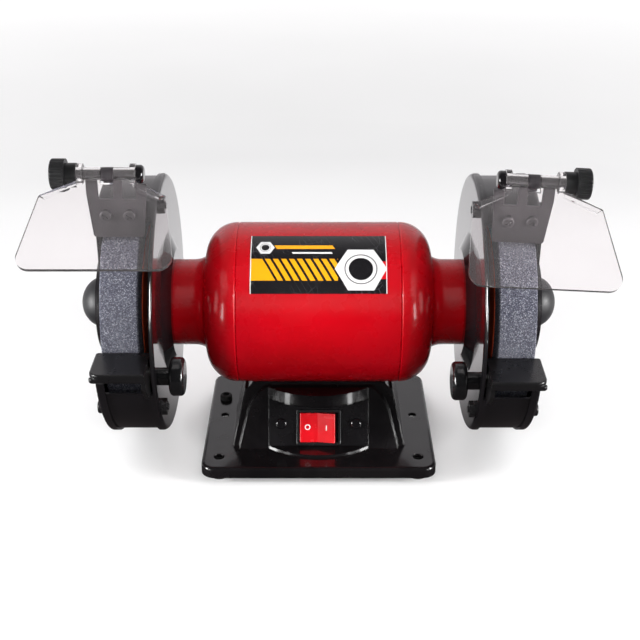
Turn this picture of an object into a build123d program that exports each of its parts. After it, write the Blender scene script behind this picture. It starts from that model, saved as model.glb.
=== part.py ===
from build123d import *
import os
from math import atan2, cos, degrees, radians, sin

# Six-inch bench grinder: a red motor on a black pedestal, with a wheel, guard, tool rest
# and clear eye shield at each end. Millimetres, +Z up, front towards -Y.
# Origin: on the bench, midway between the two front bench holes of the base.
# End pieces are built at +X. Their left-hand twins are mirrored in the YZ plane, and the guard
# at the right-hand end is fastened a few degrees further forward with all that it carries.

os.makedirs("parts", exist_ok=True)

# ---------------------------------------------------------------- driving dimensions
AXIS_Y = 51.0  # shaft line, behind the front bench holes
AXIS_Z = 113.0  # shaft line, above the bench
FIT = 0.05  # radial clearance of a plain fit
SHEET = 1.5  # pressed-steel guard sheet
CLOCKING = 3.0  # degrees that the right-hand guard is turned forward
HINGE_SHIFT = {"left": 1.8, "right": 1.2}  # how far towards the middle each arrestor is set
ASKEW = 3.0  # degrees that the right-hand arrestor leans, outer end low

TUBE_R = 57.0
TUBE_WALL = 2.5
TUBE_HALF = 56.0
BELL_CURVE_R = 22.0
BELL_END_X = 101.0
NECK_R = 30.5

CORE_HALF = 30.0
STATOR_BORE_R = 29.0
ROTOR_R = 28.5
SLOTS = 24

WHEEL_R = 75.0
WHEEL_IN = 118.2
WHEEL_OUT = 143.2
SPINDLE_R = 6.35
SHAFT_R = 7.5
FLANGE_R = 28.0
BLOTTER_R = 56.0
BLOTTER = 0.6

BEARING_IN = 86.1
BEARING_W = 11.0
BEARING_R = 17.5

GUARD_R = 91.5
DRUM_R = 90.0
GUARD_FACE = 106.5
COVER_FACE = 146.4
BOSS_R = 39.5
BOSS_FACE = 153.6
DOME_R = 18.0
DOME_TIP = 169.0
MOUTH_LOW = -18.0  # degrees from the front, upwards
MOUTH_HIGH = 61.5
MOUTH_BACK = -42.8  # how far back the cover's front is cut away
GUARD_BOLT_R = 84.0
GUARD_BOLT_ANGLES = (74.5, -33.0, 200.0)

REST_IN = 110.6
REST_OUT = 146.5
REST_BACK = -76.5
REST_FRONT = -108.5
REST_TOP = -1.5
REST_SHEET = 2.8
REST_LIP = 6.4
REST_TRAVEL = 12.0
REST_BOLT = (-76.0, -19.7)
REST_BOLT_R = 3.0

PLATE_BACK = -43.0  # spark arrestor plate, back face
PLATE_T = 1.9
PIN = (-47.6, 111.6)
PIN_R = 3.0
ARRESTOR_SCREWS = ((122.8, 82.0), (138.3, 82.0))
ARRESTOR_TRAVEL = 1.5

SHIELD_T = 2.6
SHIELD_LENGTH = 73.0
SHIELD_DROP = {"left": 34.0, "right": 42.0}  # degrees below the arrestor's square at rest
SHIELD_TOP = {"left": (96.2, 176.4), "right": (96.1, 178.4)}
SHIELD_FOOT = {"left": (87.9, 186.8), "right": (92.7, 190.8)}

BASE_X = 166.5
BASE_Y = 141.0
BASE_BACK = 4.0  # middle of the base, behind the shaft line
BASE_TOP = 14.5
BASE_LIP = 6.5
BASE_WALL = 2.5
BASE_CORNER = 10.0
FOOT_X = 71.0
FOOT_ROWS = (-51.0, 59.0)  # front and rear feet, from the shaft line
FOOT_R = 7.0
FRONT_HOLE_R = 3.8
SIDE_HOLE_R = 3.0
SIDE_HOLE_Y = 8.0

PED_BOTTOM = (62.5, 40.0)
PED_TOP = (51.0, 22.6)
PED_TOP_Z = AXIS_Z - 48.0
PED_WALL = 3.0
PED_FRONT_WALL = 7.0
LEAN = degrees(atan2(PED_BOTTOM[1] - PED_TOP[1], PED_TOP_Z - BASE_TOP))  # of the pedestal's front
PANEL_HALF = 35.5
PANEL_LOW = 2.1
PANEL_HIGH = 36.5
PANEL_T = 2.0
PANEL_SCREWS = (26.9, 18.3)
SWITCH_W = 15.8  # middle of the switch, up the leaning face
ROCKER_TILT = 8.0
ROCKER_PIVOT = -3.0  # behind the face of the panel
ROCKER_HALF = 10.6
GLAND_XY = (-72.0, 33.0)
BULGE_CHORD = 37.0
BULGE = 13.0

SHAFT_LINE = Axis((0, AXIS_Y, AXIS_Z), (1, 0, 0))
SCREW_LINE = Axis((130.55, AXIS_Y, AXIS_Z + 82), (0, 1, 0))  # midway between the arrestor screws
PROFILE = Plane(origin=(0, AXIS_Y, AXIS_Z), x_dir=(1, 0, 0), z_dir=(0, -1, 0))


# ---------------------------------------------------------------- shared helpers
def across(x):
    """A sketch plane across the shaft: local x runs to the rear, local y runs up."""
    return Plane(origin=(x, AXIS_Y, AXIS_Z), x_dir=(0, 1, 0), z_dir=(1, 0, 0))


def level(height):
    """A horizontal sketch plane, above the bench, centred under the shaft line."""
    return Plane(origin=(0, AXIS_Y, height))


def facing(back):
    """An upright sketch plane facing the front, with local x along +X and local y up."""
    return Plane(origin=(0, AXIS_Y + back, AXIS_Z), x_dir=(1, 0, 0), z_dir=(0, -1, 0))


def on_circle(radius, degrees):
    """A point beside the shaft, at an angle measured from the front upwards."""
    return (-radius * cos(radians(degrees)), radius * sin(radians(degrees)))


def turned(*outline):
    """A solid turned about the shaft line, from (x, radius) points."""
    with BuildPart() as body:
        with BuildSketch(PROFILE):
            with BuildLine():
                Polyline(*outline, close=True)
            make_face()
        revolve(axis=SHAFT_LINE)
    return body.part


def rods(spots, radius, start, end):
    """Round bars along X through the given (rear, up) spots."""
    with BuildPart() as bars:
        with BuildSketch(across(start)):
            with Locations(*spots):
                Circle(radius)
        extrude(amount=end - start)
    return bars.part


def sector(radius, low, high, start, end):
    """A wedge round the shaft between two angles measured from the front upwards."""
    corners = [on_circle(radius * 1.6, low + (high - low) * k / 4) for k in range(5)]
    with BuildPart() as wedge:
        with BuildSketch(across(start)):
            with BuildLine():
                Polyline((0, 0), *corners, close=True)
            make_face()
        extrude(amount=end - start)
    return wedge.part


def export_pair(name, right_hand, left_hand):
    """Write the piece at the right-hand end, and the mirrored one at the left-hand end."""
    clocked = right_hand.rotate(SHAFT_LINE, CLOCKING)
    clocked.label = f"{name}_right"
    export_step(clocked, f"parts/{name}_right.step")
    twin = mirror(left_hand, about=Plane.YZ)
    twin.label = f"{name}_left"
    export_step(twin, f"parts/{name}_left.step")


def at_both_ends(part):
    """The right-hand solids and their mirrored twins, as one group."""
    clocked = part.rotate(SHAFT_LINE, CLOCKING)
    return Compound(children=[*clocked.solids(), *mirror(part, about=Plane.YZ).solids()])


# ---------------------------------------------------------------- motor
def make_motor_tube():
    with BuildPart() as motor_tube:
        with BuildSketch(across(-TUBE_HALF)):
            Circle(TUBE_R)
        extrude(amount=2 * TUBE_HALF)
        chamfer(motor_tube.edges().filter_by(GeomType.CIRCLE), 0.6)
        with BuildSketch(across(-TUBE_HALF)):
            Circle(TUBE_R - TUBE_WALL)
        extrude(amount=2 * TUBE_HALF, mode=Mode.SUBTRACT)
        with BuildSketch(level(AXIS_Z - TUBE_R - 5)):
            with Locations((-38, 0), (38, 0)):
                Circle(2.7)
            Circle(5)
        extrude(amount=20, mode=Mode.SUBTRACT)
    motor_tube.part.label = "motor_tube"
    export_step(motor_tube.part, "parts/motor_tube.step")


def make_end_bells():
    outer_end = TUBE_HALF + 1 + BELL_CURVE_R
    corner = TUBE_R - BELL_CURVE_R
    inner_curve = BELL_CURVE_R - 3
    bearing_out = BEARING_IN + BEARING_W
    with BuildPart() as end_bell:
        with BuildSketch(PROFILE):
            with BuildLine():
                Line((TUBE_HALF, TUBE_R - 0.6), (TUBE_HALF + 1, TUBE_R))
                CenterArc((TUBE_HALF + 1, corner), BELL_CURVE_R, 0, 90)
                Spline((outer_end, corner), (82.4, 31.6), (89, NECK_R), tangents=((0.15, -1), (1, 0)))
                Polyline(
                    (89, NECK_R),
                    (BELL_END_X, NECK_R),
                    (BELL_END_X, 8.2),
                    (bearing_out, 8.2),
                    (bearing_out, BEARING_R),
                    (BEARING_IN - 0.1, BEARING_R),
                    (BEARING_IN - 0.1, 24),
                    (TUBE_HALF + 1 + inner_curve, 24),
                    (TUBE_HALF + 1 + inner_curve, corner),
                )
                CenterArc((TUBE_HALF + 1, corner), inner_curve, 0, 90)
                Polyline(
                    (TUBE_HALF + 1, corner + inner_curve),
                    (TUBE_HALF + 1, 51.4),
                    (46, 51.4),
                    (46, TUBE_R - TUBE_WALL),
                    (TUBE_HALF, TUBE_R - TUBE_WALL),
                    (TUBE_HALF, TUBE_R - 0.6),
                )
            make_face()
        revolve(axis=SHAFT_LINE)
        add(rods(neck_screw_spots(), 2.1, BELL_END_X - 9, BELL_END_X), mode=Mode.SUBTRACT)
    return end_bell.part


def neck_screw_spots():
    return [on_circle(24.5, angle) for angle in (30, 150, 270)]


def make_stator_core():
    with BuildPart() as stator_core:
        with BuildSketch(across(-CORE_HALF)):
            Circle(TUBE_R - TUBE_WALL)
            Circle(STATOR_BORE_R, mode=Mode.SUBTRACT)
            with PolarLocations(38.5, SLOTS):
                SlotOverall(14, 5, mode=Mode.SUBTRACT)
        extrude(amount=2 * CORE_HALF)
    stator_core.part.label = "stator_core"
    export_step(stator_core.part, "parts/stator_core.step")


def make_stator_windings():
    with BuildPart() as stator_windings:
        with BuildSketch(across(-CORE_HALF - 1)):
            with PolarLocations(38.5, SLOTS):
                SlotOverall(13.2, 4.2)
        extrude(amount=2 * CORE_HALF + 2)
        for start in (-CORE_HALF - 13, CORE_HALF + 0.6):
            with BuildSketch(PROFILE):
                with Locations((start + 6.2, 40)):
                    RectangleRounded(12.4, 17, 4)
            revolve(axis=SHAFT_LINE)
    stator_windings.part.label = "stator_windings"
    export_step(stator_windings.part, "parts/stator_windings.step")


# ---------------------------------------------------------------- rotor
def make_shaft():
    shaft = turned(
        (0, 0), (0, 9), (CORE_HALF + 16, 9), (CORE_HALF + 16, SHAFT_R), (113.4, SHAFT_R),
        (113.4, SPINDLE_R), (160.2, SPINDLE_R), (161, SPINDLE_R - 0.8), (161, 0),
    )
    with BuildPart() as whole:
        add(shaft)
        mirror(about=Plane.YZ)
    whole.part.label = "shaft"
    export_step(whole.part, "parts/shaft.step")


def make_rotor_core():
    with BuildPart() as rotor_core:
        with BuildSketch(across(-CORE_HALF)):
            Circle(ROTOR_R)
            Circle(9 + FIT, mode=Mode.SUBTRACT)
            with PolarLocations(24.5, 20):
                Circle(2, mode=Mode.SUBTRACT)
        extrude(amount=2 * CORE_HALF)
    rotor_core.part.label = "rotor_core"
    export_step(rotor_core.part, "parts/rotor_core.step")


def make_rotor_cage():
    ring = turned((CORE_HALF, 19), (CORE_HALF, 27.5), (CORE_HALF + 5, 27.5), (CORE_HALF + 5, 19))
    with BuildPart() as rotor_cage:
        with BuildSketch(across(-CORE_HALF)):
            with PolarLocations(24.5, 20):
                Circle(1.9)
        extrude(amount=2 * CORE_HALF)
        add(ring)
        with BuildSketch(across(CORE_HALF + 5)):
            with PolarLocations(23.5, 10):
                Rectangle(6, 1.6)
        extrude(amount=5)
        mirror(about=Plane.YZ)
    rotor_cage.part.label = "rotor_cage"
    export_step(rotor_cage.part, "parts/rotor_cage.step")


def make_wheels():
    arris = 0.8
    return turned(
        (WHEEL_IN, 16), (WHEEL_IN, WHEEL_R - arris), (WHEEL_IN + arris, WHEEL_R),
        (WHEEL_OUT - arris, WHEEL_R), (WHEEL_OUT, WHEEL_R - arris), (WHEEL_OUT, 16),
    )


def make_wheel_bush():
    return turned((WHEEL_IN, 6.4), (WHEEL_IN, 15.95), (WHEEL_OUT, 15.95), (WHEEL_OUT, 6.4))


def make_blotters():
    with BuildPart() as blotters:
        for start in (WHEEL_IN - BLOTTER, WHEEL_OUT):
            with BuildSketch(across(start)):
                Circle(BLOTTER_R)
                Circle(16, mode=Mode.SUBTRACT)
            extrude(amount=BLOTTER)
    return blotters.part


def make_inner_flange():
    seat = WHEEL_IN - BLOTTER
    return turned(
        (seat - 4.2, 6.4), (seat - 4.2, 15), (seat - 2.2, FLANGE_R - 2), (seat - 2.2, FLANGE_R),
        (seat, FLANGE_R), (seat, 21), (seat - 1, 20), (seat - 1, 16), (seat, 15.5), (seat, 6.4),
    )


def make_outer_flange():
    seat = WHEEL_OUT + BLOTTER
    return turned(
        (seat + 4.2, 6.4), (seat + 4.2, 15), (seat + 2.2, FLANGE_R - 2), (seat + 2.2, FLANGE_R),
        (seat, FLANGE_R), (seat, 21), (seat + 1, 20), (seat + 1, 16), (seat, 15.5), (seat, 6.4),
    )


def make_spindle_nut():
    start = WHEEL_OUT + BLOTTER + 4.2
    with BuildPart() as spindle_nut:
        with BuildSketch(across(start)):
            RegularPolygon(9.5, 6, major_radius=False)
            Circle(6.4, mode=Mode.SUBTRACT)
        extrude(amount=8)
        chamfer(spindle_nut.faces().sort_by(Axis.X)[-1].outer_wire().edges(), 0.8)
    return spindle_nut.part


def make_bearing_rings():
    end = BEARING_IN + BEARING_W
    outer = turned((BEARING_IN, 15.2), (BEARING_IN, BEARING_R), (end, BEARING_R), (end, 15.2))
    inner = turned((BEARING_IN, SHAFT_R), (BEARING_IN, 10.3), (end, 10.3), (end, SHAFT_R))
    return outer, inner


def make_bearing_balls():
    middle = BEARING_IN + BEARING_W / 2
    with BuildPart() as balls:
        with Locations(*[(middle, AXIS_Y + y, AXIS_Z + z) for y, z in ball_spots()]):
            Sphere(2.2)
    return balls.part


def ball_spots():
    return [on_circle(12.75, 45 * k) for k in range(8)]


# ---------------------------------------------------------------- wheel guard and cover
def guard_bolt_spots():
    return [on_circle(GUARD_BOLT_R, angle) for angle in GUARD_BOLT_ANGLES]


def make_wheel_guard():
    hub = BELL_END_X
    rim = 3.6
    back = GUARD_FACE + SHEET
    tuck = rim - SHEET
    inside = GUARD_R - SHEET
    drum_end = COVER_FACE - SHEET - 0.1
    drum = turned(
        (back + tuck - 1, DRUM_R - SHEET), (back + tuck - 1, DRUM_R), (drum_end, DRUM_R),
        (drum_end, DRUM_R - SHEET),
    )
    mouth = sector(GUARD_R, MOUTH_LOW, MOUTH_HIGH, GUARD_FACE + 2.6, drum_end + 1)
    with BuildPart() as wheel_guard:
        with BuildSketch(PROFILE):
            with BuildLine():
                Polyline((hub, 12), (hub, 38), (GUARD_FACE, 50), (GUARD_FACE, GUARD_R - rim))
                CenterArc((GUARD_FACE + rim, GUARD_R - rim), rim, 90, 90)
                Polyline(
                    (GUARD_FACE + rim, GUARD_R),
                    (back + tuck + 2, GUARD_R),
                    (back + tuck + 2, inside),
                    (back + tuck, inside),
                )
                CenterArc((back + tuck, GUARD_R - rim), tuck, 90, 90)
                Polyline((back, GUARD_R - rim), (back, 50), (hub + SHEET, 38), (hub + SHEET, 12), (hub, 12))
            make_face()
        revolve(axis=SHAFT_LINE)
        add(drum)
        add(mouth, mode=Mode.SUBTRACT)
        with BuildSketch(facing(PLATE_BACK)):
            with Locations(((back + tuck + 140) / 2, 84)):
                Rectangle(140 - back - tuck, 15)
        extrude(amount=-SHEET)
        with BuildSketch(facing(PLATE_BACK + 5)):
            with Locations(*ARRESTOR_SCREWS):
                Circle(2.0 + FIT)
        extrude(amount=10, mode=Mode.SUBTRACT)
        add(rods(guard_bolt_spots(), 2.6, GUARD_FACE - 1, back + 1), mode=Mode.SUBTRACT)
        add(rods(neck_screw_spots(), 2.2, hub - 1, hub + 3), mode=Mode.SUBTRACT)
        add(rods([REST_BOLT], REST_BOLT_R + 0.2, GUARD_FACE - 1, back + 1), mode=Mode.SUBTRACT)
    return wheel_guard.part


def make_outer_cover():
    inside = COVER_FACE - 1.4
    with BuildPart() as outer_cover:
        with BuildSketch(PROFILE):
            with BuildLine():
                Polyline(
                    (BOSS_FACE, 14), (BOSS_FACE, BOSS_R - 4.5), (COVER_FACE + 1, BOSS_R),
                    (COVER_FACE, BOSS_R + 1.5), (COVER_FACE, GUARD_R - 2),
                )
                CenterArc((COVER_FACE - 2, GUARD_R - 2), 2, 0, 90)
                Polyline(
                    (COVER_FACE - 2, GUARD_R),
                    (140.6, GUARD_R),
                    (140.6, DRUM_R + 0.1),
                    (inside, DRUM_R + 0.1),
                    (inside, BOSS_R + 1.5),
                    (inside + 1, BOSS_R - 1.4),
                    (BOSS_FACE - 1.4, BOSS_R - 6),
                    (BOSS_FACE - 1.4, 14),
                    (BOSS_FACE, 14),
                )
            make_face()
        revolve(axis=SHAFT_LINE)
        with BuildSketch(across(130)):
            with BuildLine():
                Polyline((MOUTH_BACK, -18), (-120, -18), (-120, 120), (MOUTH_BACK, 120), close=True)
            make_face()
            fillet(vertices().sort_by_distance((MOUTH_BACK, -18))[0], 8)
        extrude(amount=30, mode=Mode.SUBTRACT)
        add(rods(guard_bolt_spots(), 2.6, inside - 1, COVER_FACE + 1), mode=Mode.SUBTRACT)
    return outer_cover.part


def make_hub_cap():
    height = DOME_TIP - BOSS_FACE
    with BuildPart() as hub_cap:
        with BuildSketch(PROFILE):
            with BuildLine():
                EllipticalCenterArc((BOSS_FACE, 0), height, DOME_R, start_angle=0, arc_size=90)
                Polyline(
                    (BOSS_FACE, DOME_R), (BOSS_FACE, 13.9), (BOSS_FACE - 2.6, 13.9), (BOSS_FACE - 2.6, 12.6),
                    (BOSS_FACE + 3, 12.6), (BOSS_FACE + 8, 11), (BOSS_FACE + 13.4, 0), (DOME_TIP, 0),
                )
            make_face()
        revolve(axis=SHAFT_LINE)
    return hub_cap.part


def make_guard_screws():
    with BuildPart() as guard_screws:
        add(rods(guard_bolt_spots(), 2.4, GUARD_FACE - 5, COVER_FACE))
        add(rods(guard_bolt_spots(), 4.8, COVER_FACE, COVER_FACE + 3.2))
        fillet(guard_screws.faces().sort_by(Axis.X)[-3:].edges(), 1.4)
    return guard_screws.part


def make_guard_nuts():
    with BuildPart() as guard_nuts:
        with BuildSketch(across(GUARD_FACE - 4)):
            with Locations(*guard_bolt_spots()):
                RegularPolygon(5, 6, major_radius=False)
                Circle(2.4 + FIT, mode=Mode.SUBTRACT)
        extrude(amount=3.2)
        with BuildSketch(across(GUARD_FACE - 0.8)):
            with Locations(*guard_bolt_spots()):
                Circle(5.9)
                Circle(2.4 + FIT, mode=Mode.SUBTRACT)
        extrude(amount=0.8)
    return guard_nuts.part


def make_neck_screws():
    with BuildPart() as neck_screws:
        add(rods(neck_screw_spots(), 2.0, BELL_END_X - 8, BELL_END_X + SHEET))
        add(rods(neck_screw_spots(), 3.8, BELL_END_X + SHEET, BELL_END_X + SHEET + 2.4))
    return neck_screws.part


# ---------------------------------------------------------------- tool rest
def make_tool_rest():
    low = REST_TOP - REST_SHEET
    with BuildPart() as tool_rest:
        with BuildSketch(level(AXIS_Z + low)):
            with BuildLine():
                Polyline(
                    (REST_IN, REST_BACK), (REST_OUT, REST_BACK), (REST_OUT, REST_FRONT),
                    (REST_IN, REST_FRONT), close=True,
                )
            make_face()
            fillet(vertices().sort_by_distance((REST_OUT, REST_FRONT))[0], 7)
            fillet(vertices().sort_by_distance((REST_OUT, REST_BACK))[0], 2)
        extrude(amount=REST_SHEET)
        with BuildSketch(level(AXIS_Z + REST_TOP - REST_LIP)):
            with BuildLine():
                Polyline(
                    (REST_IN, REST_FRONT + REST_SHEET), (REST_OUT, REST_FRONT + REST_SHEET),
                    (REST_OUT, REST_FRONT), (REST_IN, REST_FRONT), close=True,
                )
            make_face()
            fillet(vertices().sort_by_distance((REST_OUT, REST_FRONT))[0], 2.7)
        extrude(amount=REST_LIP - REST_SHEET)
        with BuildSketch(across(REST_IN)):
            with BuildLine():
                Polyline(
                    (REST_FRONT + 3, REST_TOP), (REST_FRONT + 3, -14), (-95, -26.2), (-58, -26.2),
                    (-58, -13), (REST_BACK + 6, -13), (REST_BACK, low), (REST_BACK, REST_TOP), close=True,
                )
            make_face()
            with Locations((REST_BOLT[0] + REST_TRAVEL / 2, REST_BOLT[1])):
                SlotCenterToCenter(REST_TRAVEL, 2 * REST_BOLT_R + 0.6, mode=Mode.SUBTRACT)
        extrude(amount=REST_SHEET)
        fillet(tool_rest.edges().filter_by(Axis.X).group_by(Axis.Y)[0], 1.2)
    return tool_rest.part


def make_rest_knob():
    rear, up = REST_BOLT
    with BuildPart() as rest_knob:
        with BuildSketch(across(88.8)):
            with Locations((rear, up)):
                Circle(13)
        extrude(amount=9.8)
        fillet(rest_knob.edges(), 2.8)
        with BuildSketch(across(98.4)):
            with Locations((rear, up)):
                Circle(6)
        extrude(amount=GUARD_FACE - 98.4 - 0.1)
        with BuildSketch(across(91.8)):
            with Locations((rear, up)):
                Circle(REST_BOLT_R + FIT)
        extrude(amount=20, mode=Mode.SUBTRACT)
    return rest_knob.part


def make_rest_bolt():
    rear, up = REST_BOLT
    head = REST_IN + REST_SHEET + 0.1
    with BuildPart() as rest_bolt:
        with BuildSketch(across(92.2)):
            with Locations((rear, up)):
                Circle(REST_BOLT_R)
        extrude(amount=head - 92.2)
        with BuildSketch(across(head)):
            with Locations((rear, up)):
                Circle(6.5)
        extrude(amount=2.2)
        fillet(rest_bolt.faces().sort_by(Axis.X)[-1].edges(), 1.8)
    return rest_bolt.part


def make_rest_washer():
    start = GUARD_FACE + SHEET
    with BuildPart() as rest_washer:
        with BuildSketch(across(start)):
            with Locations(REST_BOLT):
                Circle(6)
                Circle(REST_BOLT_R + 0.1, mode=Mode.SUBTRACT)
        extrude(amount=REST_IN - 0.1 - start)
    return rest_washer.part


# ---------------------------------------------------------------- spark arrestor and eye shield
def make_spark_arrestor(side):
    """The forked plate, which its slots let slide and lean a little on its screws."""
    shift = HINGE_SHIFT[side]
    back = PLATE_BACK - 0.1
    with BuildPart() as spark_arrestor:
        with BuildSketch(facing(back)):
            with BuildLine():
                Polyline(
                    (114 + shift, 67), (149, 67), (151.7, 97), (151.5, 106.8), (144.1, 106.8), (144.1, 93),
                    (134.4, 93), (134.4, 104), (140, 104), (140, 110), (132.6, 110), (132.6, 106.8),
                    (128.3, 106.8), (128.3, 93), (119.6, 93), (119.6, 103.8), (112.4, 103.8), close=True,
                )
            make_face()
            fillet(vertices().group_by(Axis.Y)[0], 2)
            with Locations(*[(x + shift, up) for x, up in ARRESTOR_SCREWS]):
                SlotCenterToCenter(2 * ARRESTOR_TRAVEL + 1, 4.6, rotation=90, mode=Mode.SUBTRACT)
        extrude(amount=PLATE_T)
        with BuildSketch(across(132.6)):
            with Locations(PIN):
                Circle(4.5)
        extrude(amount=7.4)
        with BuildSketch(across(100)):
            with Locations(PIN):
                Circle(PIN_R + FIT)
        extrude(amount=60, mode=Mode.SUBTRACT)
    return Pos(-shift, 0, 0) * spark_arrestor.part


def make_arrestor_screws():
    head_at = PLATE_BACK - 0.1 - PLATE_T - 0.1
    with BuildPart() as arrestor_screws:
        with BuildSketch(facing(head_at)):
            with Locations(*ARRESTOR_SCREWS):
                Circle(4)
        extrude(amount=2.4)
        fillet(arrestor_screws.faces().sort_by(Axis.Y)[:2].edges(), 1.2)
        with BuildSketch(facing(head_at - 2.4)):
            with Locations(*ARRESTOR_SCREWS):
                Rectangle(4.4, 0.9, rotation=35)
                Rectangle(0.9, 4.4, rotation=35)
        extrude(amount=-1.2, mode=Mode.SUBTRACT)
        with BuildSketch(facing(head_at)):
            with Locations(*ARRESTOR_SCREWS):
                Circle(2)
        extrude(amount=-6.4)
    return arrestor_screws.part


def make_hinge_bolt():
    with BuildPart() as hinge_bolt:
        with BuildSketch(across(113)):
            with Locations(PIN):
                Circle(6)
        extrude(amount=5)
        fillet(hinge_bolt.faces().sort_by(Axis.X)[0].edges(), 2.5)
        with BuildSketch(across(118)):
            with Locations(PIN):
                Circle(PIN_R)
        extrude(amount=50)
    return hinge_bolt.part


def make_shield_knob():
    grooves = 28
    with BuildPart() as shield_knob:
        with BuildSketch(across(155.9)):
            with Locations(PIN):
                Circle(7.2)
        extrude(amount=7.2)
        with BuildSketch(across(163)):
            with Locations(PIN):
                Circle(10)
        extrude(amount=9.3)
        fillet(shield_knob.faces().sort_by(Axis.X)[-1].edges(), 1.2)
        with BuildSketch(across(163)):
            with Locations(PIN):
                with PolarLocations(10.2, grooves):
                    Circle(0.55)
        extrude(amount=10, mode=Mode.SUBTRACT)
        with BuildSketch(across(150)):
            with Locations(PIN):
                Circle(PIN_R + FIT)
        extrude(amount=18.4, mode=Mode.SUBTRACT)
    return shield_knob.part


def make_eye_shield(side):
    """A clear plate hung from the hinge bolt, built at +X in its own tilted plane."""
    drop = radians(SHIELD_DROP[side])
    hinge = (0, AXIS_Y + PIN[0], AXIS_Z + PIN[1])
    down = (0, -cos(drop), -sin(drop))
    sheet = Plane(origin=hinge, x_dir=(1, 0, 0), z_dir=(0, -sin(drop), cos(drop)))
    top_in, top_out = SHIELD_TOP[side]
    foot_in, foot_out = SHIELD_FOOT[side]
    shoulder = 18.0
    shift = HINGE_SHIFT[side]
    ears = ((118.2, 121.7, 6.8), (122.1, 132.2, 4.4), (140.6, 151.4, 4.4), (152.1, 155.6, 6.8))
    with BuildPart() as eye_shield:
        with BuildSketch(sheet):
            with BuildLine():
                Polyline(
                    (118.2 - shift, -8), (155.6 - shift, -8), (top_out, -shoulder), (foot_out, -SHIELD_LENGTH),
                    (foot_in, -SHIELD_LENGTH), (top_in, -shoulder), close=True,
                )
            make_face()
            fillet(vertices().group_by(Axis.Y)[0], 9)
            fillet(vertices().sort_by_distance((top_out, -shoulder))[0], 2)
            fillet(vertices().sort_by_distance((top_in, -shoulder))[0], 2)
        extrude(amount=SHIELD_T / 2, both=True)
        for start, end, radius in ears:
            with BuildSketch(Plane(origin=(start - shift, *hinge[1:]), x_dir=down, z_dir=(1, 0, 0))):
                Circle(radius)
                with Locations((5, 0)):
                    Rectangle(10, SHIELD_T)
            extrude(amount=end - start)
        with BuildSketch(sheet.offset(SHIELD_T / 2)):
            with BuildLine():
                Polyline(
                    (118.2 - shift, -8), (top_in + 1, -shoulder - 1), (top_in + 4, -shoulder - 3),
                    (119.2 - shift, -11.4), close=True,
                )
            make_face()
            with BuildLine():
                Polyline(
                    (155.6 - shift, -8), (top_out - 1, -shoulder - 1), (top_out - 4, -shoulder - 3),
                    (154.6 - shift, -11.4), close=True,
                )
            make_face()
        extrude(amount=2)
        with BuildSketch(across(110)):
            with Locations(PIN):
                Circle(PIN_R + FIT)
        extrude(amount=60, mode=Mode.SUBTRACT)
    return eye_shield.part


# ---------------------------------------------------------------- base, pedestal and switch
def panel_plane(forward):
    """The leaning face of the pedestal's front, moved outwards by forward."""
    tilt = radians(LEAN)
    foot = (0, AXIS_Y - PED_BOTTOM[1], BASE_TOP)
    return Plane(origin=foot, x_dir=(1, 0, 0), z_dir=(0, -cos(tilt), sin(tilt))).offset(forward)


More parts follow.
